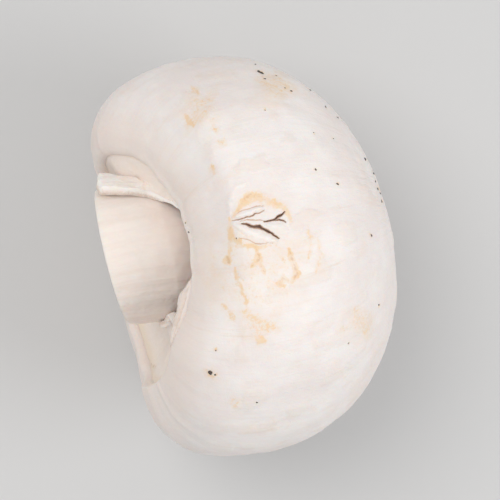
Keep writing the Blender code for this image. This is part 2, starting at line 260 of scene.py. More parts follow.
def cap_surface(cap, radius, height, angle):
    """Where a point of the cap's turned profile lies, once the cap is out of round and its margin wavy."""
    girth = 1 - cap.oval * np.cos(2 * angle) + cap.lumps * np.cos(3 * angle + 0.6)
    out = np.minimum(1.0, radius / cap.margin_radius)
    rimward = smooth(-height / cap.margin_drop) * out * out
    from_lip = np.abs(radius - cap.margin_radius)
    bulge = cap.lip_bulge * bump(angle, cap.lip_bulge_at, LIP_BULGE_SPREAD)
    bulge = bulge * np.maximum(0.0, 1 - from_lip / LIP_BULGE_REACH)
    tuck = cap.lip_tuck * bump(angle, cap.lip_tuck_at, LIP_TUCK_SPREAD)
    tuck = tuck * np.maximum(0.0, 1 - from_lip / LIP_TUCK_REACH)
    drawn_back = margin_rise(cap, angle) * rimward
    return polar(radius * girth + (bulge - tuck) * rimward, angle, height + drawn_back)


def laying_turn(cap):
    return np.array(Matrix.Rotation(pi / 2 + cap.lie_tilt, 3, "Y"))


def laying_shift(cap):
    """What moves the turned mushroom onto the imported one: their caps' boxes have one middle and one top."""
    line = cap_outline(cap)
    angles = np.linspace(0, 2 * pi, 256, endpoint=False)
    points = cap_surface(cap, line[:, None, 0], line[:, None, 1], angles[None, :]) @ laying_turn(cap).T
    low, high = points.min(axis=(0, 1)), points.max(axis=(0, 1))
    packed_low, packed_high = (np.array(corner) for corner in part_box("cap"))
    shift = (packed_low + packed_high - low - high) / 2
    shift[2] = packed_high[2] - high[2]
    return shift


def laid_down(points, cap):
    return points @ laying_turn(cap).T + laying_shift(cap)


def on_the_table(points, softness=0.12 * MM):
    """Points pressed up to the level of the table where they would sink into it, with a soft edge."""
    pressed = points.copy()
    pressed[..., 2] = (points[..., 2] + np.sqrt(points[..., 2] ** 2 + softness**2)) / 2
    return pressed


def evenly(line, count, density):
    """count points along a line, closer together where density, a function of its points, is high."""
    steps = np.linalg.norm(np.diff(line, axis=0), axis=1)
    middles = (line[1:] + line[:-1]) / 2
    along = np.concatenate([[0.0], np.cumsum(steps * density(middles))])
    wanted = np.linspace(0, along[-1], count)
    return np.stack([np.interp(wanted, along, line[:, k]) for k in range(line.shape[1])], axis=1)


def angles_round(count, centre, extra=0.0, spread=1.0):
    """count angles round the axis, 1 + extra times as close together round centre."""
    fine = np.linspace(0, 2 * pi, 7201)
    weight = 1 + extra * bump(fine, centre, spread)
    along = np.concatenate([[0.0], np.cumsum((weight[1:] + weight[:-1]) / 2)])
    return np.interp(np.linspace(0, along[-1], count + 1)[:-1], along, fine)


def quarter(turn, fullness):
    """(across, along) on a quarter of an ellipse, or of something boxier where fullness is over 2."""
    return np.clip(np.cos(turn), 0, 1) ** (2 / fullness), np.sin(turn) ** (2 / fullness)


def cap_outline(cap):
    """(radius, height) along the cap's skin, from the crown round the margin and into the chamber."""
    half, bead = cap.diameter / 2, cap.lip_thickness / 2
    wide, roof = cap.chamber_radius, cap.chamber_roof
    fine = 400
    across, up = quarter(np.linspace(pi / 2, 0, fine), cap.crown_fullness)
    crown = joined(half * across, cap.crown_height * up)
    across, down = quarter(np.linspace(0, pi / 2, fine), cap.shoulder_fullness)
    shoulder = joined(cap.margin_radius + (half - cap.margin_radius) * across, -cap.margin_drop * down)
    turn = np.radians(np.linspace(-90, -240, fine // 4))
    lip = joined(cap.margin_radius + bead * np.cos(turn), -cap.margin_drop + bead + bead * np.sin(turn))
    wall = [(wide - inward * MM, height * MM) for inward, height in CHAMBER_WALL]
    vault = [(wide - inward * MM, roof - below * MM) for inward, below in CHAMBER_VAULT]
    return np.concatenate([crown, shoulder[1:], lip[1:], wall, vault, [(0.3 * MM, roof)]])


def skin_of(name, rings, first=None, last=None, loop=False, **painted):
    """A mesh through rings of points, closed at either end by one point, or onto its own first ring.

    What is painted on it is a number for each point of the rings, which its material reads.
    """
    steps, count = rings.shape[:2]
    index = np.arange(steps * count).reshape(steps, count)
    beside = np.roll(index, -1, axis=1)
    rows = steps if loop else steps - 1
    below = np.roll(index, -1, axis=0)
    corner = np.roll(beside, -1, axis=0)
    faces = np.stack([index, beside, corner, below], axis=-1)[:rows].reshape(-1, 4).tolist()
    points = rings.reshape(-1, 3).tolist()
    if first is not None:
        faces += [(len(points), b, a) for a, b in zip(index[0].tolist(), beside[0].tolist())]
        points.append(tuple(first))
    if last is not None:
        faces += [(len(points), a, b) for a, b in zip(index[-1].tolist(), beside[-1].tolist())]
        points.append(tuple(last))
    mesh = bpy.data.meshes.new(name)
    mesh.from_pydata(points, [], faces)
    work = bmesh.new()
    work.from_mesh(mesh)
    if work.calc_volume(signed=True) < 0:
        bmesh.ops.reverse_faces(work, faces=work.faces)
    work.to_mesh(mesh)
    work.free()
    mesh.shade_smooth()
    for attribute, values in painted.items():
        padded = np.zeros(len(points), np.float32)
        padded[: values.size] = values.ravel()
        mesh.attributes.new(attribute, "FLOAT", "POINT").data.foreach_set("value", padded)
    return mesh


def add_object(name, data):
    """A new object in the scene for that mesh, light or camera."""
    made = bpy.data.objects.new(name, data)
    bpy.context.scene.collection.objects.link(made)
    return made


def add_piece(name, mesh, material, slot, *nodes):
    """The mesh as a piece that rides on the body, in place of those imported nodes."""
    piece = add_object(name, mesh)
    mesh.materials.append(material)
    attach(piece, BODY)
    if nodes:
        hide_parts(*nodes)
    return piece


class Value:
    """A number, colour or vector that a shader works out: the output socket of a node."""

    def __init__(self, finish, socket):
        self.finish = finish
        self.socket = socket

    def maths(self, operation, *values):
        inputs = dict(enumerate(values))
        return self.finish.node("Math", {"operation": operation}, inputs)

    def __add__(self, other):
        return self.maths("ADD", self, other)

    def __sub__(self, other):
        return self.maths("SUBTRACT", self, other)

    def __rsub__(self, other):
        return self.maths("SUBTRACT", other, self)

    def __mul__(self, other):
        return self.maths("MULTIPLY", self, other)

    def __truediv__(self, other):
        return self.maths("DIVIDE", self, other)

    def __pow__(self, other):
        return self.maths("POWER", self, other)

    def between(self, low, high):
        """0 below low, 1 above high, and smooth between them."""
        inputs = {"Value": self, "From Min": low, "From Max": high}
        return self.finish.node("MapRange", {"interpolation_type": "SMOOTHSTEP"}, inputs)

    __radd__ = __add__
    __rmul__ = __mul__


class Finish:
    """A material being made. node() adds any node, and shine() sets the shader."""

    def __init__(self, name):
        self.material = bpy.data.materials.new(name)
        self.material.use_nodes = True
        self.nodes = self.material.node_tree.nodes
        self.links = self.material.node_tree.links
        self.shader = self.nodes["Principled BSDF"]

    def feed(self, socket, value):
        if isinstance(value, Value):
            self.links.new(value.socket, socket)
        elif socket.type == "RGBA":
            socket.default_value = (*value, 1.0)
        else:
            socket.default_value = value

    def node(self, kind, choices=None, inputs=None, output=0):
        made = self.nodes.new("ShaderNode" + kind)
        for name, value in (choices or {}).items():
            setattr(made, name, value)
        for name, value in (inputs or {}).items():
            self.feed(made.inputs[name], value)
        return Value(self, made.outputs[output])

    def mix(self, share, one, other):
        """Colour one where share is 0 and the other where it is 1."""
        inputs = {"Factor": share, 6: one, 7: other}
        return self.node("Mix", {"data_type": "RGBA"}, inputs, output=2)

    def tinted(self, colour, *layers):
        """The colour with others laid over it in turn, each as (how much of it, what colour)."""
        for share, tint in layers:
            colour = self.mix(share, colour, tint)
        return colour

    def place(self):
        return self.node("TexCoord", output="Object")

    def moved(self, vector, operation, by):
        return self.node("VectorMath", {"operation": operation}, {0: vector, 1: by})

    def grain(self, size, vector=None, detail=2.0, roughness=0.5):
        """Noise from 0 to 1 with features of about that size, in millimetres."""
        start = self.place() if vector is None else vector
        scaled = self.moved(start, "MULTIPLY", (1 / (size * MM),) * 3)
        inputs = {"Vector": scaled, "Scale": 1.0, "Detail": detail, "Roughness": roughness}
        return self.node("TexNoise", {}, inputs)

    def painted(self, name):
        """The number that the mesh carries under that name."""
        return self.node("Attribute", {"attribute_name": name}, output="Fac")

    def relief(self, height, depth):
        """A bumped normal: the skin is depth millimetres higher where height is 1 than where it is 0."""
        return self.node("Bump", {}, {"Height": height, "Distance": depth * MM, "Strength": 1.0})

    def shine(self, **values):
        for name, value in values.items():
            self.feed(self.shader.inputs[name.replace("_", " ").title()], value)
        return self.material


def own_frame(finish, cap):
    """The shader's place in the mushroom's own frame."""
    shift = laying_shift(cap)
    centred = finish.moved(finish.place(), "SUBTRACT", tuple(float(c) for c in shift))
    inputs = {"Vector": centred, "Angle": -(pi / 2 + cap.lie_tilt)}
    return finish.node("VectorRotate", {"rotation_type": "Y_AXIS"}, inputs)


def fibre_place(finish, place, girth, shortening):
    """A place in which noise draws out into fibres that run from the crown to the foot."""
    x, y, z = (finish.node("SeparateXYZ", {}, {"Vector": place}, output=axis) for axis in "XYZ")
    radius = (x * x + y * y + 1e-9) ** 0.5
    inputs = {"X": x / radius * girth, "Y": y / radius * girth, "Z": z * shortening}
    return finish.node("CombineXYZ", {}, inputs)


def flesh_light(finish, scattering, scale):
    """How light goes into the flesh, up to about scale millimetres, and comes out warmer."""
    finish.shader.inputs["Subsurface Weight"].default_value = scattering
    finish.shader.inputs["Subsurface Radius"].default_value = (1.0, 0.62, 0.42)
    finish.shader.inputs["Subsurface Scale"].default_value = scale * MM
    finish.shader.inputs["Specular IOR Level"].default_value = 0.35


def cap_skin(cap):
    """White skin: faint warm clouds, fine fibres from the crown out, tan stains, and dark in its slits."""
    finish = Finish("cap_skin")
    fibres = fibre_place(finish, own_frame(finish, cap), cap.diameter / 2, 0.1)
    clouds = finish.grain(9, detail=4.0, roughness=0.6).between(0.38, 0.66)
    warmth = finish.grain(4, detail=5.0, roughness=0.65).between(0.52, 0.78)
    streaks = finish.grain(0.45, fibres, detail=3.0, roughness=0.6)
    scales = finish.grain(1.1, fibres, detail=5.0, roughness=0.7).between(0.58, 0.7)
    crowded = finish.grain(8).between(0.42, 0.62)
    ragged = finish.grain(0.4, detail=5.0, roughness=0.7)
    patchy = finish.grain(1.5, detail=3.0, roughness=0.6).between(0.35, 0.62)
    halo = (finish.painted("stain") + ragged * 1.2 - 0.6).between(-0.6, 0.8)
    stain = finish.painted("stain") + ragged * 1.8 - 0.9
    slit = finish.painted("slit") + ragged * 0.5 - 0.25
    colour = finish.tinted(
        cap.colour,
        (clouds, cap.pale_colour),
        (warmth * 0.55, cap.warm_colour),
        (streaks.between(0.5, 0.8) * 0.35, cap.warm_colour),
        (scales * (crowded * 0.4 + 0.1), cap.scale_colour),
        (finish.painted("flake") * 0.2, cap.scale_colour),
        (finish.painted("margin") * 0.45, cap.warm_colour),
        (halo * (patchy * 0.35 + 0.15), cap.stain_colour),
        (stain.between(0.15, 0.5) * (patchy * 0.7 + 0.3), cap.stain_colour),
        (stain.between(0.75, 1.2) * 0.4, cap.deep_stain_colour),
        (finish.painted("ridge").between(0.1, 0.9) * 0.5, cap.torn_colour),
        (slit.between(-0.7, 0.2) * 0.6, cap.deep_stain_colour),
        (slit.between(0.1, 0.7) * (patchy * 0.35 + 0.6), cap.slit_colour),
    )
    fine = finish.grain(0.25, detail=3.0, roughness=0.6)
    height = streaks * 0.7 + fine * 0.5 + finish.grain(1.3, detail=4.0) * 0.8
    dullness = finish.grain(3).between(0.3, 0.7) * 0.12 + 0.5
    flesh_light(finish, 0.3, 2.2)
    return finish.shine(base_color=colour, roughness=dullness, normal=finish.relief(height, 0.09))


def scar_frame(cap):
    """Where the scar's middle is on the table, and the cosine and sine of the camera's roll."""
    roll = settings().stage.roll
    middle = laying_shift(cap)[:2] + np.array([cap.scar_along, cap.scar_across])
    return middle, cos(roll), sin(roll)


def scar_place(points, cap):
    """(right, up) of each laid-down point from the scar's middle, as the camera sees it, in millimetres."""
    middle, cosine, sine = scar_frame(cap)
    x, y = np.moveaxis((points[..., :2] - middle) / MM, -1, 0)
    return joined(x * cosine - y * sine, x * sine + y * cosine)


def from_scar(right, up, cap):
    """The laid-down x and y of a place given as scar_place gives it."""
    middle, cosine, sine = scar_frame(cap)
    return middle + np.array([right * cosine + up * sine, up * cosine - right * sine]) * MM


def stroke(spots, path, width):
    """1 in the middle of a stroke through those points, 0 at its side and less outside. Its ends taper."""
    runs = [np.subtract(end, start) for start, end in zip(path[:-1], path[1:])]
    lengths = [np.linalg.norm(run) for run in runs]
    best = np.full(spots.shape[:-1], np.inf)
    passed = 0.0
    for start, run, run_length in zip(path[:-1], runs, lengths):
        share = np.clip(((spots - np.array(start)) @ run) / (run @ run), 0, 1)
        away = np.linalg.norm(spots - np.array(start) - share[..., None] * run, axis=-1)
        along = (passed + share * run_length) / sum(lengths)
        best = np.minimum(best, away / (width * (0.4 + 0.6 * np.sin(pi * along))))
        passed += run_length
    return 1 - best


def drawn(spots, lines, widen=1.0):
    """The strongest stroke at each spot: its strength in the middle, 0 at its side, -1 far away."""
    best = np.full(spots.shape[:-1], -1.0)
    for path, width, strength in lines:
        field = stroke(spots, path, width * widen)
        best = np.maximum(best, np.where(field > 0, strength * field, field))
    return best


def raised(spots, lines, widen=1.0):
    """The highest of some soft welts at each spot: its height in the middle, 0 at its side and outside."""
    welts = [rise * smooth(stroke(spots, path, width * widen)) for path, width, rise in lines]
    return np.max(welts, axis=0)


def cap_grid(cap):
    """The cap's outline and the angles of its grid, closer together at the scar and along the margin."""

    def density(middles):
        radius, height = middles[:, 0], middles[:, 1]
        inside = (radius < cap.chamber_radius) & (height > -11 * MM)
        inside = inside & (height < cap.chamber_roof + 0.1 * MM)
        scarred = np.exp(-(((height - SCAR_HEIGHT) / (6 * MM)) ** 2)) * (radius > 21 * MM)
        return np.where(inside, 0.25, 1 + 5 * scarred + 1.1 * rising(-height, 9 * MM, 3 * MM))

    outline = evenly(cap_outline(cap), cap.rows, density)
    return outline, angles_round(cap.columns, SCAR_ANGLE, extra=5.0, spread=radians(16))


def cap_relief(points, radius, height, angles, cap):
    """(relief, flakes) of the skin: its height in millimetres, and where it breaks up into small flakes."""
    off_crown = smooth(radius / (9 * MM))
    drawn_out = polar(cap.diameter / 2, angles[None, :], 0.12 * height)
    flakes = rising(rough(points * np.array([1, 1, 0.5]), 2.6 * MM, 19, octaves=4), 0.45, 0.12)
    flakes = flakes * off_crown * rising(height, -11 * MM, 3 * MM)
    fibres = layered(drawn_out, CAP_FIBRES) * off_crown
    return layered(points, *CAP_LUMPS) + fibres + FLAKE_HEIGHT * flakes, flakes


def scar_relief(spots):
    """(relief, welts) of the scar: its height in millimetres, and how far torn skin stands up in it."""
    depth = raised(spots, SCAR_SLITS, widen=1.5)
    along_slits = joined(spots[..., 0] * 0.3 - spots[..., 1] * 0.1, spots[..., 1], 0.0)
    welts = raised(spots, SCAR_RIDGES) * (0.75 + 0.5 * noise(along_slits, 0.35, 37))
    return welts * (1 - smooth(depth / 0.3)) - depth - raised(spots, [SCAR_HOLLOW]), welts


def soiled(stain, points, cap):
    """The stain's strength, with a faint stain round each crumb of soil too."""
    top = points.reshape(-1, 3)
    for right, up, size in SOIL_CRUMBS:
        place = from_scar(right, up, cap)
        nearest = np.argmin(np.hypot(top[:, 0] - place[0], top[:, 1] - place[1]) + (top[:, 2] < 22 * MM))
        away = np.linalg.norm(points - top[nearest], axis=-1) / MM
        stain = np.maximum(stain, 0.7 - away / (size * 2.2))
    return stain


def make_cap(cap):
    """The cap's skin with its lumps, margin and scar, and the numbers that its material reads."""
    outline, angles = cap_grid(cap)
    radius, height = outline[:, None, 0], outline[:, None, 1]
    points = cap_surface(cap, radius, height, angles[None, :])
    foot = np.argmin(outline[:, 1]) + 1
    fade = np.ones((len(outline), 1))
    fade[foot:, 0] = np.linspace(1, 0, len(outline) - foot)
    relief, flakes = cap_relief(points, radius, height, angles, cap)
    points = points + unit(points) * (relief * fade)[..., None] * MM
    waves = layered(polar(cap.margin_radius, angles, 0.0), MARGIN_WAVES) * rising(-height, 7 * MM, 6 * MM)
    points[..., 2] += waves * MM * np.minimum(1, radius / (12 * MM))
    points = laid_down(points, cap)
    upper = rising(points[..., 2], 26 * MM, 4 * MM)
    spots = shaken(scar_place(points, cap), points, 0.16, 1.1, 31, 35)
    relief, welts = scar_relief(spots)
    points[..., 2] += relief * upper * MM
    points = on_the_table(points)
    slit = drawn(spots, [(path, width, min(1.0, deep / 0.5)) for path, width, deep in SCAR_SLITS])
    stain = soiled(drawn(spots, SCAR_STAINS, widen=2.0), points, cap)
    margin = rising(-height, 11.4 * MM, 3 * MM) * np.ones(len(angles))
    margin[foot:] = 1.0
    return skin_of(
        "cap_skin",
        points,
        first=points[0].mean(axis=0),
        last=points[-1].mean(axis=0),
        slit=slit * upper - (1 - upper),
        ridge=np.clip(welts / 0.3, 0, 1) * upper,
        stain=stain * upper - (1 - upper),
        margin=margin,
        flake=flakes * fade,
    )


def spine(stem, cap, height):
    """(x, y, bend) of the stem's middle at that height: it drifts aside in the cap, and leans below it."""
    drift = smooth((cap.chamber_roof - height) / (cap.chamber_roof - stem.bend_start))
    down = np.maximum(0.0, stem.bend_start - height)
    bend_radius = stem.bend_length / stem.bend
    bend = np.minimum(stem.bend, np.arcsin(np.minimum(1.0, down / bend_radius)))
    straight = down - bend_radius * np.sin(bend)
    x = stem.drift_x * drift + bend_radius * (1 - np.cos(bend)) + straight * np.tan(bend)
    return x, stem.drift_y * drift + down * tan(stem.lean), bend


def stem_surface(stem, cap, height, angle, out=0.0):
    """A point on the stem's side, or as far outside it as out says."""
    middle_x, middle_y, bend = spine(stem, cap, height)
    share = smooth((cap.chamber_roof - height) / stem.flare)
    size = stem.top_radius + (stem.radius - stem.top_radius) * share
    size = size * (1 + stem.oval * np.cos(2 * angle + 0.8) + stem.oval / 2 * np.cos(3 * angle)) + out
    x = middle_x + np.cos(bend) * size * np.cos(angle)
    return joined(x, middle_y + size * np.sin(angle), height + np.sin(bend) * size * np.cos(angle))


def cut_plane(stem, cap):
    """(point, normal) of the knife cut, in the mushroom's own frame."""
    turn = laying_turn(cap)
    normal = np.array([-cos(stem.cut_turn), 0, -sin(stem.cut_turn)]) @ turn
    return np.array([stem.cut_x, 0, 0]) @ turn, normal


def cut_face(foot, normal):
    """(rings, out): the cut face from its edge to its middle, and how far out each ring is, up to 1."""
    out = np.concatenate([[0.985], np.linspace(0.97, 0.01, 44)])[:, None]
    middle = foot.mean(axis=0)
    face = middle + (foot - middle) * out[..., None]
    marks = KNIFE_MARK_HEIGHT * noise(face * np.array([0.12, 1, 1]), 0.7 * MM, 71)
    marks = marks + layered(face, CUT_WAVES) + layered(face, PITH_GRAIN) * rising(1 - out, 0.25, 0.3)
    dish = -CUT_DISH * (1 - out**4)
    return face + normal * ((dish + marks * smooth((1 - out) / 0.12)) * MM)[..., None], out


def make_stem(stem, cap):
    """The stem's side, drawn out in faint fibres, and its knife cut with a soft, slightly dished face."""
    point, normal = cut_plane(stem, cap)
    along = np.array([tan(stem.bend), tan(stem.lean), -1.0])
    angles = angles_round(stem.columns, pi, extra=0.5, spread=1.2)
    heights = np.linspace(cap.chamber_roof - 0.3 * MM, -9.5 * MM, 40)
    upper = stem_surface(stem, cap, heights[:, None], angles[None, :])
    reach = ((point - upper[-1]) @ normal) / (along @ normal)
    lower = upper[-1] + along * (reach[:, None] * np.linspace(0, 1, 81)[1:, None, None])
    side = np.concatenate([upper, lower])
    middle_x, middle_y, _ = spine(stem, cap, side[..., 2])
    outward = unit(side - joined(middle_x, middle_y, side[..., 2]))
    drawn_out = polar(stem.radius, angles, 0.0) + side * np.array([0, 0, 0.06])
    relief = layered(drawn_out, STEM_FIBRES) + layered(side, STEM_WAVES) + layered(side, STEM_GRAIN)
    rounding = CUT_ROUNDING * np.exp(-((point - side) @ normal) / (0.7 * MM))
    side = side + outward * ((relief - rounding) * MM)[..., None]
    foot = side[-1] + normal * ((point - side[-1]) @ normal)[:, None]
    side[-1] = foot - along * 0.12 * MM
    face, out = cut_face(foot, normal)
    rings = laid_down(np.concatenate([side, face]), cap)
    cut, deep = np.zeros((2, *rings.shape[:2]))
    cut[len(side):] = 1 - 0.8 * out
    # Painted shade: 1 where the stem runs in under the cap's rim, where its colour is tinted warmer and
    # lighter to stand for the shade there.
    deep[: len(side)] = rising(side[..., 2], -14 * MM, 7 * MM)
    first, last = rings[0].mean(axis=0), rings[-1].mean(axis=0)
    return skin_of("stem_flesh", rings, first=first, last=last, cut=cut, deep=deep)


def stem_flesh(stem, cap):
    """Cream flesh in long fibres, warmer towards the cap, with a paler cut face that browns at its edge. The
    warmer, lighter flesh towards the cap is painted shade under the cap's rim.
    """
    finish = Finish("stem_flesh")
    fibres = fibre_place(finish, own_frame(finish, cap), stem.radius, 0.06)
    coarse = finish.grain(1.3, fibres, detail=4.0, roughness=0.6)
    fine = finish.grain(0.3, fibres, detail=3.0, roughness=0.6)
    blotches = finish.grain(3, detail=4.0, roughness=0.6).between(0.5, 0.8)
    threads = finish.grain(0.35, detail=4.0, roughness=0.65)
    cut = finish.painted("cut")
    face = finish.tinted(
        stem.cut_colour,
        (threads.between(0.2, 0.8), stem.pale_colour),
        (cut.between(0.75, 0.95) * blotches * 0.5, stem.warm_colour),
        ((0.3 - cut).between(0.0, 0.12) * 0.8, stem.warm_colour),
    )
    colour = finish.tinted(
        stem.colour,
        (coarse.between(0.3, 0.7), stem.pale_colour),
        (fine.between(0.55, 0.8) * 0.3, stem.warm_colour),
        # Painted shade under the cap's rim: warmer, lighter flesh towards the cap.
        (finish.painted("deep") * 0.8, stem.under_cap_shade_colour),
        (blotches * 0.35, stem.warm_colour),
        (cut.between(0.05, 0.18), face),
    )
    flesh_light(finish, 0.3, 2)
    bumps = finish.relief(coarse * 0.7 + fine * 0.4 + threads * 0.25, 0.06)
    return finish.shine(base_color=colour, roughness=fine * 0.15 + 0.55, normal=bumps)


def hold(veil, angle):
    """1 where the veil still reaches the stem, 0 where it has torn off and hangs from the rim."""
    middle = (veil.hold_from + veil.hold_to) / 2
    half = (veil.hold_to - veil.hold_from) / 2
    return smooth((half - turned_from(angle, middle)) / TEAR_SPREAD)


def veil_heights(veil, stem, cap, angle):
    """(touch, edge): the heights at which the veil comes to the stem, and ends, short of the cut."""
    point, normal = cut_plane(stem, cap)
    rise = cap_surface(cap, cap.margin_radius, -cap.margin_drop, angle)[..., 2] + veil.edge_rise
    touch = np.minimum(rise + veil.touch, veil.top)
    touch = touch - veil.filled * bump(angle, veil.filled_at, FILLED_SPREAD, power=4)
    edge = np.minimum(rise - veil.sheath * sheathing(veil, angle), touch - veil.touch)
    past_cut = (stem_surface(stem, cap, edge, angle) - point) @ normal + veil.trim
    return touch, edge + np.maximum(0.0, past_cut)


def sheathing(veil, angle):
    """1 where the veil runs on down the stem, 0 elsewhere."""
    return bump(angle, veil.sheath_at, veil.sheath_spread, power=8)


def veil_curve(veil, stem, cap, angles, held):
    """(share, points): rows across the veil, from share 0 in the lip to 1 at its edge."""
    bead = cap.lip_thickness / 2
    inward = polar(-1.0, angles, 0.0)
    around = polar(NOISE_RADIUS, angles, 0.0)
    lip = cap_surface(cap, cap.margin_radius - bead, -cap.margin_drop + bead, angles)
    start = lip - inward * 0.5 * MM
    ragged = rough(around, 1.7 * MM, 91, octaves=4)
    torn = lip + inward * (veil.torn_width * (1 + 0.35 * ragged))[:, None]
    torn[:, 2] += veil.torn_rise + 0.3 * MM * rough(around, 1.1 * MM, 97)
    touch_height, edge_height = veil_heights(veil, stem, cap, angles)
    edge_height = edge_height + (0.22 * MM * ragged) * (1 - bump(angles, veil.sheath_at, 0.3, power=4))
    kept_touch = stem_surface(stem, cap, touch_height, angles, out=0.4 * MM)
    kept_edge = stem_surface(stem, cap, edge_height, angles, out=0.42 * MM)
    touch = start + (torn - start) * 0.7
    touch = touch + (kept_touch - touch) * held
    end = torn + (kept_edge - torn) * held
    sag = veil.sag * held * (1 - 0.9 * bump(angles, veil.filled_at, FILLED_SPREAD))[:, None]
    sagged = start + (touch - start) * 0.6 + sag * np.array([0, 0, 1])
    rounded = (start + sagged) / 2 + sag * np.array([0, 0, 0.25])
    fine = np.linspace(0, 1, veil.rows // 2 + 1)[1:]
    rows = np.concatenate([np.linspace(0, 3, veil.rows // 2), 4 - (1 - fine) ** 2])
    return rows[:, None] / 4, curve_through(np.stack([start, rounded, sagged, touch, end]), rows)


def veil_thickness(veil, angles, held, share, curve, to_end):
    """How thick the veil is, in millimetres: thin where torn, thicker along its edge and in its band."""
    around = polar(NOISE_RADIUS, angles, 0.0)
    roll = 0.42 + (0.45 + 0.2 * rough(around, 2.5 * MM, 117)) * rising(share, 0.78, 0.12)
    band = sheathing(veil, angles) * rising(share, 0.6, 0.15)
    roll = roll + band * (0.4 + 0.15 * rough(curve, 2.2 * MM, 119))
    thin = 0.42 - 0.26 * rising(share, 0.4, 0.5)
    thick = roll * held[None, :, 0] + thin * (1 - held[None, :, 0])
    return thick * np.sqrt(np.maximum(0.02, 1 - np.maximum(0.0, 1 - to_end / EDGE_ROUNDING) ** 2))


def make_veil(veil, stem, cap):
    """The veil: a cottony skin from the lip in to the stem, rolled along its edge, and torn off above."""
    angles = angles_round(veil.columns, pi * 0.85, extra=0.6, spread=1.2)
    held = hold(veil, angles)[:, None]
    share, curve = veil_curve(veil, stem, cap, angles, held)
    sideways = joined(np.sin(angles), -np.cos(angles), 0.0)
    across = unit(np.cross(sideways[None], np.gradient(curve, axis=0)))
    curve = curve + across * (layered(curve, *VEIL_COTTON) * smooth(share / 0.15))[..., None] * MM
    steps = np.linalg.norm(np.diff(curve, axis=0), axis=-1)
    to_end = np.concatenate([np.cumsum(steps[::-1], axis=0)[::-1], 0 * steps[:1]])
    thick = veil_thickness(veil, angles, held, share, curve, to_end)
    within = 0.38 * np.minimum(thick, 0.5)
    outer = curve + across * ((thick - within) * MM)[..., None]
    inner = curve - across * (within * MM)[..., None]
    spots = scar_place(laid_down(outer, cap), cap)
    nub = np.exp(-np.sum((spots - np.array(SHEATH_NUB)) ** 2, axis=-1) / 0.5**2) * (share > 0.5)
    crease = smooth(drawn(shaken(spots, outer, 0.2, 1.2, 123, 127), VEIL_CREASES, widen=1.6))
    outer = outer + across * (MM * (NUB_HEIGHT * nub - CREASE_DEPTH * crease))[..., None]
    # A thin dark line along the band's edge where it meets the stem: partly the edge's own browning, partly a
    # painted contact shadow.
    close = 0.6 * np.maximum(0.0, 1 - to_end / (0.25 * MM))
    brown = np.maximum(close * held[None, :, 0], crease * (0.6 + 0.5 * noise(outer, 0.8 * MM, 129)))
    return sheet_of("veil_skin", outer, inner, share, brown, cap)


def sheet_of(name, outer, inner, share, brown, cap):
    """A thin closed sheet between two skins, and for its material how near its edge it is and how browned it
    is. Along the veil band's edge that browning is partly painted contact shadow.
    """
    sides = [values + np.zeros(outer.shape[:2]) for values in (share, brown)]
    edge, brown = (np.concatenate([side, side[::-1]]) for side in sides)
    rings = laid_down(np.concatenate([outer, inner[::-1]]), cap)
    return skin_of(name, rings, loop=True, edge=edge, brown=brown)


def make_fringe(veil, cap, inset, reach, seed):
    """A shred of torn veil along the inside of the lip, which stands out past it where the veil is torn."""
    angles = angles_round(veil.columns, SHREDS_MIDDLE, extra=2.5, spread=0.6)
    around = polar(NOISE_RADIUS, angles, 0.0)
    window = rising(angles, SHREDS_FROM, 0.3) * smooth((SHREDS_TO - angles) / 0.5)
    window = np.maximum(window, 0.45 * bump(angles, TUFT_AT, 0.06))
    ragged = 0.55 + 0.75 * rough(around, 2.4 * MM, seed, octaves=4)
    over = reach * np.maximum(ragged, 0.05) * np.sqrt(window)
    bead = cap.lip_thickness / 2
    lines = []
    for aside, lift in (
        (0.3 * MM, 0.1 * MM),
        (0.7 * inset, -0.6 * MM),
        (inset, -bead - 0.3 * over),
        (inset - 0.3 * over, -bead - over),
    ):
        line = cap_surface(cap, cap.margin_radius - aside * window, bead - cap.margin_drop, angles)
        lines.append(line + joined(0.0, 0.0, lift * window))
    rows = np.linspace(0, 3, veil.fringe_rows)
    share = rows[:, None] / 3
    curve = curve_through(np.stack(lines), rows)
    outward = polar(1.0, angles, 0.0)
    crumple = 0.14 * rough(curve, 0.9 * MM, seed + 5) * share * window
    curve = curve + outward * (crumple * MM)[..., None]
    thickness = (0.26 - 0.18 * share)[..., None] * MM
    brown = np.clip(rising(share, 0.75, 0.2) * (0.5 + 0.7 * noise(around, 1.3 * MM, seed + 9)), 0, 1)
    half = outward * thickness / 2
    return sheet_of("veil_shred", curve + half, curve - half, share, brown, cap)


def curve_through(points, shares):
    """A smooth curve through rows of points, read at fractional row numbers."""
    last = len(points) - 1
    row = np.clip(np.floor(shares).astype(int), 0, last - 1)
    t = (shares - row)[:, None, None]
    p0, p1 = points[np.maximum(row - 1, 0)], points[row]
    p2, p3 = points[row + 1], points[np.minimum(row + 2, last)]
    slope_1, slope_2 = (p2 - p0) / 2, (p3 - p1) / 2
    return (
        p1 * (2 * t**3 - 3 * t**2 + 1)
        + slope_1 * (t**3 - 2 * t**2 + t)
        + p2 * (-2 * t**3 + 3 * t**2)
        + slope_2 * (t**3 - t**2)
    )


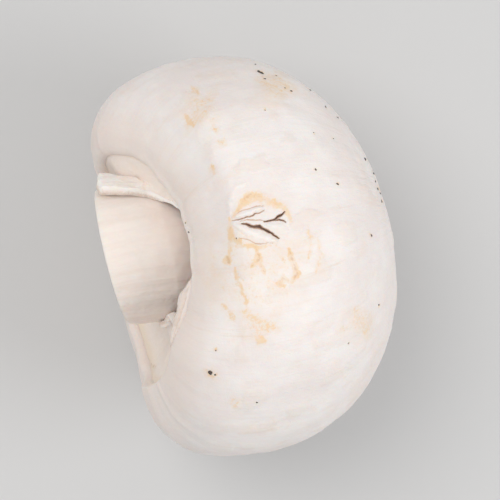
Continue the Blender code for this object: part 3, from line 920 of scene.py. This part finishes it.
def veil_skin(veil):
    """Thin cottony skin, tan in the valley and pale at its torn edge: the tan, warmest against the lip, is
    painted shade under the cap's rim.
    """
    finish = Finish("veil_skin")
    edge = finish.painted("edge")
    wool = finish.grain(0.4, detail=4.0, roughness=0.65)
    patches = finish.grain(2.5, detail=3.0).between(0.5, 0.75)
    brown = (finish.painted("brown") + wool * 0.6 - 0.3).between(0.2, 0.8)
    # Painted shade: the veil is tan from the lip down into its valley under the cap's rim, and warmest right
    # against the lip. It turns pale from the valley out onto its band and edge.
    colour = finish.tinted(
        veil.colour,
        (edge.between(0.55, 0.9), veil.pale_colour),
        ((0.16 - edge).between(0.0, 0.1) * 0.8, veil.warm_colour),
        # Browning of the torn shreds, darker brown along the creases, and along the band's edge a thin dark
        # line that is partly painted contact shadow.
        (brown * 0.6, veil.torn_colour),
        (wool.between(0.5, 0.75) * 0.25, veil.warm_colour),
        (patches * 0.22, veil.warm_colour),
    )
    flesh_light(finish, 0.3, 1.2)
    bumps = finish.relief(wool * 0.7 + finish.grain(0.15) * 0.3, 0.08)
    return finish.shine(base_color=colour, roughness=wool * 0.15 + 0.6, normal=bumps)


def make_gills(gills, cap):
    """The gills: many thin blades, long and short by turns, hanging from one bed under the cap."""
    out = np.linspace(0, 1, 12)
    radius = gills.inner_radius + (gills.outer_radius - gills.inner_radius) * out
    under_roof = 0.3 * MM
    top = cap.chamber_roof - under_roof - gills.bed_sag * np.maximum(0.0, (out - 0.25) / 0.75) ** 2
    bed = top - gills.bed_thickness
    full = gills.depth * (0.55 + 0.45 * np.sin(pi * np.minimum(1.0, out * 0.9 + 0.12)))
    sections = []
    for k in range(gills.count):
        angle = 2 * pi * k / gills.count
        start = GILL_STARTS[k % len(GILL_STARTS)]
        depth = full * smooth((out - start + 0.1) / 0.12) * (1 + 0.06 * sin(k * 2.4))
        sway = 0.25 * MM * sin(k * 1.7) * out * (1 - out) * 4
        for side, hangs in ((-1, False), (-1, True), (1, True), (1, False)):
            half = (gills.edge_thickness if hangs else gills.root_thickness) / 2
            turn = angle + (side * half + (sway if hangs else 0.0)) / radius
            under = bed - depth if hangs else bed
            upper = cap_surface(cap, radius, top, turn)
            lower = cap_surface(cap, radius, under, turn)
            sections.append(np.concatenate([upper, lower[::-1]]))
    rings = np.array(sections).transpose(1, 0, 2)
    return skin_of("gill_flesh", laid_down(rings, cap), loop=True)


def gill_flesh(gills):
    """Pinkish-brown gills, with paler edges and a faint grain."""
    finish = Finish("gill_flesh")
    clouds = finish.grain(2, detail=3.0).between(0.3, 0.7)
    colour = finish.mix(clouds, gills.colour, gills.pale_colour)
    flesh_light(finish, 0.2, 0.8)
    fine = finish.grain(0.2)
    bumps = finish.relief(fine, 0.03)
    return finish.shine(base_color=colour, roughness=fine * 0.1 + 0.6, normal=bumps)


def crumb(seed, size):
    """One crumb of soil: a small ball drawn out of round and broken up."""
    work = bmesh.new()
    bmesh.ops.create_icosphere(work, subdivisions=3, radius=1.0)
    points = np.array([v.co for v in work.verts])
    faces = [[v.index for v in f.verts] for f in work.faces]
    work.free()
    points = points * (1 + 0.45 * rough(points, 0.9, seed, octaves=3)[:, None])
    points = points * np.array([1.25 + 0.25 * sin(seed), 0.9, 0.55]) * size / 2
    turn = np.array(Matrix.Rotation(seed * 1.3, 3, "Z"))
    return points @ turn.T, faces


def make_crumbs(cap, skin):
    """Crumbs of casing soil, each half sunk where a ray from above meets the cap."""
    points, faces = [], []
    for k, (right, up, size) in enumerate(SOIL_CRUMBS):
        for inward in np.linspace(1, 0.88, 13):
            x, y = from_scar(right * inward, up * inward, cap)
            hit, where, normal, _ = skin.ray_cast(Vector((x, y, 0.1)), Vector((0, 0, -1)))
            if hit and normal.z > 0.15:
                break
        else:
            raise RuntimeError(f"soil crumb {k} isn't over the cap")
        lump, shapes = crumb(FIRST_CRUMB_SEED + k, size * MM)
        turn = np.array(normal.to_track_quat("Z", "Y").to_matrix())
        start = len(points)
        points += (lump @ turn.T + np.array(where)).tolist()
        faces += [[start + i for i in shape] for shape in shapes]
    mesh = bpy.data.meshes.new("soil_crumbs")
    mesh.from_pydata(points, [], faces)
    mesh.shade_smooth()
    return mesh


def soil(cap):
    """Damp dark soil with a few paler grains."""
    finish = Finish("soil")
    grains = finish.grain(0.12, detail=4.0, roughness=0.7)
    colour = finish.mix(grains.between(0.4, 0.7), cap.soil_colour, cap.pale_soil_colour)
    bumps = finish.relief(grains, 0.06)
    return finish.shine(base_color=colour, roughness=grains * 0.2 + 0.7, normal=bumps)


def mm(name, description, size, largest=200):
    """A setting in millimetres, which Blender shows in the scene's own unit."""
    limit = largest * MM
    return FloatProperty(
        name=name, description=description, default=size * MM, min=-limit, max=limit, unit="LENGTH"
    )


def degrees(name, description, turn):
    return FloatProperty(name=name, description=description, default=radians(turn), subtype="ANGLE")


def ratio(name, description, default):
    """A plain number."""
    return FloatProperty(name=name, description=description, default=default)


def swatch(name, description, default):
    return FloatVectorProperty(
        name=name, description=description, default=default, size=3, min=0.0, max=1.0, subtype="COLOR"
    )


def whole(name, description, default):
    return IntProperty(name=name, description=description, default=default, min=8)


class CapSettings(bpy.types.PropertyGroup):
    diameter: mm("Diameter", "Width of the cap at its widest ring", 52)
    crown_height: mm("Crown height", "From the widest ring to the crown", 21.2)
    margin_drop: mm("Margin drop", "From the widest ring to the foot of the margin", 14.4)
    margin_radius: mm("Margin radius", "Radius of the foot of the margin", 17)
    lip_thickness: mm("Lip thickness", "Thickness of the inrolled lip", 2.8)
    chamber_radius: mm("Chamber radius", "Radius of the hollow that holds the gills", 21)
    chamber_roof: mm("Chamber roof", "Height of the hollow's roof over the widest ring", 1)
    crown_fullness: ratio("Crown fullness", "2 is an ellipse and more is boxier", 2.15)
    shoulder_fullness: ratio("Shoulder fullness", "2 is an ellipse and more is boxier", 2.3)
    oval: ratio("Oval", "How far the cap is from round", 0.012)
    lumps: ratio("Lumps", "How far the cap has three corners", 0.008)
    upper_lift: mm("Upper lift", "How far the margin is drawn back on the upper side", 6)
    upper_lift_at: degrees("Upper lift at", "Where the margin is drawn back most", 160)
    upper_lift_spread: degrees("Upper lift spread", "How far round that goes", 50)
    under_lift: mm("Under lift", "How far the margin is drawn back underneath", 3.6)
    under_lift_at: degrees("Under lift at", "Where that is", 8)
    under_lift_spread: degrees("Under lift spread", "How far round that goes", 64)
    margin_ripple: mm("Margin ripple", "Height of the margin's waves", 0.3)
    lip_bulge: mm("Lip bulge", "How far the lip stands off on one side", 1.6)
    lip_bulge_at: degrees("Lip bulge at", "Where the lip stands off", 112)
    lip_tuck: mm("Lip tuck", "How far the lip is rolled in on the other side", 2.8)
    lip_tuck_at: degrees("Lip tuck at", "Where the lip is rolled in", 268)
    lie_tilt: degrees("Lying tilt", "How far the crown dips", 15)
    scar_along: mm("Scar along", "From the widest ring's middle towards the crown to the scar", 5.2)
    scar_across: mm("Scar across", "From the axis sideways to the scar", 3.1)
    rows: whole("Rows", "Steps from the crown to the chamber's roof", 232)
    columns: whole("Columns", "Steps round the cap", 424)
    colour: swatch("Colour", "Most of the skin", (0.85, 0.775, 0.737))
    pale_colour: swatch("Pale colour", "The whitest skin", (0.89, 0.835, 0.80))
    warm_colour: swatch("Warm colour", "Faint warm streaks and the margin", (0.85, 0.715, 0.63))
    scale_colour: swatch("Scale colour", "Small fibrous scales", (0.80, 0.66, 0.55))
    stain_colour: swatch("Stain colour", "Stains round the scar", (0.86, 0.64, 0.42))
    deep_stain_colour: swatch("Deep stain colour", "The darkest of the stains", (0.62, 0.35, 0.18))
    torn_colour: swatch("Torn colour", "Lifted edges of torn skin", (0.92, 0.87, 0.83))
    slit_colour: swatch("Slit colour", "Inside the slits", (0.19, 0.115, 0.095))
    soil_colour: swatch("Soil colour", "Crumbs of soil", (0.05, 0.038, 0.034))
    pale_soil_colour: swatch("Pale soil colour", "Grains in the soil", (0.18, 0.13, 0.11))


class StemSettings(bpy.types.PropertyGroup):
    radius: mm("Radius", "Radius at the foot", 9.5)
    top_radius: mm("Top radius", "Radius inside the cap", 8.4)
    flare: mm("Flare", "Over what length the stem widens", 14)
    oval: ratio("Oval", "How far the stem is from round", 0.02)
    drift_x: mm("Drift up", "How far it drifts off the cap's axis, down if positive", -1.5)
    drift_y: mm("Drift aside", "How far it drifts off the cap's axis sideways", 2.6)
    lean: degrees("Lean", "How far the stem leans aside below the cap", 6)
    bend: degrees("Bend", "How far the stem bends below the cap", 5)
    bend_start: mm("Bend start", "Where it starts to bend", -7)
    bend_length: mm("Bend length", "Over what length it bends", 12)
    cut_x: mm("Cut", "Where the knife cut is, along the table from the cap's middle", -14.1)
    cut_turn: degrees("Cut turn", "How far the cut faces down", 4)
    columns: whole("Columns", "Steps round the stem", 480)
    colour: swatch("Colour", "Most of the stem", (0.86, 0.755, 0.68))
    pale_colour: swatch("Pale colour", "The palest fibres", (0.895, 0.81, 0.745))
    warm_colour: swatch("Warm colour", "Folds and shaded fibres", (0.80, 0.66, 0.57))
    # Painted shade: the warmer, lighter tint where the stem runs in under the cap's rim.
    under_cap_shade_colour: swatch("Deep colour", "Towards the cap", (0.95, 0.80, 0.72))
    cut_colour: swatch("Cut colour", "The cut face", (0.84, 0.745, 0.65))


class VeilSettings(bpy.types.PropertyGroup):
    hold_from: degrees("Held from", "Where the veil starts to reach the stem", -140)
    hold_to: degrees("Held to", "Where it has torn off", 157)
    sag: mm("Sag", "How far the veil sags into the cap", 1.5)
    edge_rise: mm("Edge rise", "Height of its edge on the stem over the margin's foot", 3.4)
    touch: mm("Touch", "How far above its edge the veil comes to the stem", 1.2)
    top: mm("Top", "The highest that it comes to the stem", -7.5)
    sheath: mm("Sheath", "How much further it runs down the stem on one side", 12)
    sheath_at: degrees("Sheath at", "Where it does so", 85)
    sheath_spread: degrees("Sheath spread", "How far round that goes", 50)
    filled: mm("Filled", "How much shallower the valley is beside the sheath", 3)
    filled_at: degrees("Filled at", "Where it is shallower", 103)
    trim: mm("Trim", "From its edge to the knife cut at least", 0.6)
    torn_width: mm("Torn width", "How far its torn part stands in from the lip", 1.7)
    torn_rise: mm("Torn rise", "How far the torn edge curls up into the cap", 0.9)
    fringe_rows: whole("Fringe rows", "Steps across a torn shred", 14)
    rows: whole("Rows", "Steps from the lip to the edge", 56)
    columns: whole("Columns", "Steps round the veil", 720)
    # The tan is painted shade, where the veil hangs from the lip into its valley under the cap's rim.
    colour: swatch("Colour", "The veil in its valley", (0.95, 0.815, 0.735))
    pale_colour: swatch("Pale colour", "Its free edge", (0.94, 0.88, 0.83))
    # Also painted shade, warmest where the veil meets the lip under the cap's rim.
    warm_colour: swatch("Warm colour", "Its tan patches", (0.87, 0.71, 0.57))
    # Also the thin dark line along the band's edge where it meets the stem, which is partly painted contact
    # shadow.
    torn_colour: swatch("Torn colour", "Its browned torn edge", (0.55, 0.36, 0.24))


class GillSettings(bpy.types.PropertyGroup):
    count: whole("Count", "Number of gills, short ones among them", 176)
    inner_radius: mm("Inner radius", "Where the gills start", 12.4)
    outer_radius: mm("Outer radius", "Where the gills end", 19.4)
    depth: mm("Depth", "How deep a gill hangs", 5.2)
    bed_thickness: mm("Bed thickness", "What the gills hang from", 0.8)
    bed_sag: mm("Bed sag", "How far the bed falls outwards", 1.9)
    root_thickness: mm("Root thickness", "A gill at its root", 0.3)
    edge_thickness: mm("Edge thickness", "A gill at its edge", 0.18)
    colour: swatch("Colour", "The gills", (0.55, 0.34, 0.27))
    pale_colour: swatch("Pale colour", "Their paler parts", (0.70, 0.50, 0.42))


class StageSettings(bpy.types.PropertyGroup):
    roll: degrees("Roll", "How far the crown is turned up in the picture", 13.5)
    framed: mm("Framed", "Width of what the picture shows", 66, largest=1000)
    lens: FloatProperty(name="Lens", description="Focal length in millimetres", default=250.0, min=20.0)
    floor_colour: swatch("Floor colour", "The plain floor", (0.62, 0.61, 0.60))
    key_power: ratio("Key power", "Power of the soft light above", 2.0)
    fill_power: ratio("Fill power", "Power of the soft light opposite", 1.9)
    sky: ratio("Sky", "Strength of the light from all round", 0.67)


class MushroomSettings(bpy.types.PropertyGroup):
    cap: PointerProperty(type=CapSettings)
    stem: PointerProperty(type=StemSettings)
    veil: PointerProperty(type=VeilSettings)
    gills: PointerProperty(type=GillSettings)
    stage: PointerProperty(type=StageSettings)


class MUSHROOM_OT_cap(bpy.types.Operator):
    """Make the cap and the crumbs of soil on it"""

    bl_idname = "mushroom.cap"
    bl_label = "Make the cap"

    def execute(self, context):
        cap = settings().cap
        skin = add_piece("cap_skin", make_cap(cap), cap_skin(cap), "cap_flesh", "cap")
        context.view_layer.update()
        add_piece("soil_crumbs", make_crumbs(cap, skin), soil(cap), "cap_flesh")
        return {"FINISHED"}


class MUSHROOM_OT_gills(bpy.types.Operator):
    """Make the gills under the cap"""

    bl_idname = "mushroom.gills"
    bl_label = "Make the gills"

    def execute(self, context):
        gills = settings().gills
        blades = make_gills(gills, settings().cap)
        add_piece("gill_blades", blades, gill_flesh(gills), "gill_flesh", "gills")
        return {"FINISHED"}


class MUSHROOM_OT_stem(bpy.types.Operator):
    """Make the stem with its knife cut"""

    bl_idname = "mushroom.stem"
    bl_label = "Make the stem"

    def execute(self, context):
        stem, cap = settings().stem, settings().cap
        add_piece("stem_fibres", make_stem(stem, cap), stem_flesh(stem, cap), "stem_flesh", "stem")
        return {"FINISHED"}


class MUSHROOM_OT_veil(bpy.types.Operator):
    """Make the torn veil between the cap's rim and the stem"""

    bl_idname = "mushroom.veil"
    bl_label = "Make the veil"

    def execute(self, context):
        veil, stem, cap = settings().veil, settings().stem, settings().cap
        skin = veil_skin(veil)
        add_piece("veil_web", make_veil(veil, stem, cap), skin, "veil_skin", "veil")
        add_piece("veil_shred_near", make_fringe(veil, cap, 0.7 * MM, 0.4 * MM, 131), skin, "veil_skin")
        add_piece("veil_shred_far", make_fringe(veil, cap, 1.3 * MM, 0.7 * MM, 151), skin, "veil_skin")
        return {"FINISHED"}


def add_light(name, place, aim, size, power, tint):
    """A large soft light at place, turned towards aim."""
    data = bpy.data.lights.new(name, "AREA")
    data.shape = "DISK"
    data.size = size
    data.energy = power
    data.color = tint
    light = add_object(name, data)
    light.location = place
    light.rotation_euler = (Vector(aim) - Vector(place)).to_track_quat("-Z", "Y").to_euler()


class MUSHROOM_OT_stage(bpy.types.Operator):
    """Set the plain pale floor, the soft light and the camera that looks straight down"""

    bl_idname = "mushroom.stage"
    bl_label = "Set the stage"

    def execute(self, context):
        stage = settings().stage
        scene = context.scene
        mesh = bpy.data.meshes.new("floor")
        side = 4.0
        corners = [(-side, -side, 0), (side, -side, 0), (side, side, 0), (-side, side, 0)]
        mesh.from_pydata(corners, [], [range(4)])
        floor = add_object("floor", mesh)
        finish = Finish("floor_paint")
        tone = finish.grain(50)
        paint = finish.mix(tone * 0.1, stage.floor_colour, tuple(0.97 * c for c in stage.floor_colour))
        mesh.materials.append(finish.shine(base_color=paint, roughness=0.7))
        world = bpy.data.worlds.new("pale_room")
        scene.world = world
        world.use_nodes = True
        background = world.node_tree.nodes["Background"]
        background.inputs["Color"].default_value = (0.96, 0.98, 1.0, 1.0)
        background.inputs["Strength"].default_value = stage.sky
        middle = (CAD_BOX[0] + CAD_BOX[1]) / 2
        add_light("key", (-0.2, 0.24, 0.75), middle, 0.5, stage.key_power, (1.0, 0.985, 0.965))
        add_light("fill", (0.55, -0.3, 0.5), middle, 0.5, stage.fill_power, (0.96, 0.98, 1.0))
        data = bpy.data.cameras.new("photo_camera")
        data.lens = stage.lens
        camera = add_object("photo_camera", data)
        away = stage.framed / 2 / (data.sensor_width / 2 / stage.lens)
        camera.location = (middle.x, middle.y, middle.z + away)
        camera.rotation_euler = (0, 0, -stage.roll)
        data.clip_start, data.clip_end = away / 100, away * 100
        scene.camera = camera
        scene.view_settings.view_transform = "Standard"
        return {"FINISHED"}


class MUSHROOM_PT_panel(bpy.types.Panel):
    """Lists the mushroom's pieces in the sidebar"""

    bl_idname = "MUSHROOM_PT_panel"
    bl_label = "Button mushroom"
    bl_space_type = "VIEW_3D"
    bl_region_type = "UI"
    bl_category = "Mushroom"

    def draw(self, context):
        for maker in MAKERS:
            self.layout.operator(maker.bl_idname)


MAKERS = (MUSHROOM_OT_cap, MUSHROOM_OT_gills, MUSHROOM_OT_stem, MUSHROOM_OT_veil, MUSHROOM_OT_stage)
GROUPS = (CapSettings, StemSettings, VeilSettings, GillSettings, StageSettings, MushroomSettings)


def register():
    for part in (*GROUPS, *MAKERS, MUSHROOM_PT_panel):
        bpy.utils.register_class(part)
    bpy.types.Scene.mushroom = PointerProperty(type=MushroomSettings)


def unregister():
    del bpy.types.Scene.mushroom
    for part in reversed((*GROUPS, *MAKERS, MUSHROOM_PT_panel)):
        bpy.utils.unregister_class(part)


def main():
    register()
    bpy.ops.mushroom.cap()
    bpy.ops.mushroom.gills()
    bpy.ops.mushroom.stem()
    bpy.ops.mushroom.veil()
    bpy.ops.mushroom.stage()


if __name__ == "__main__":
    main()
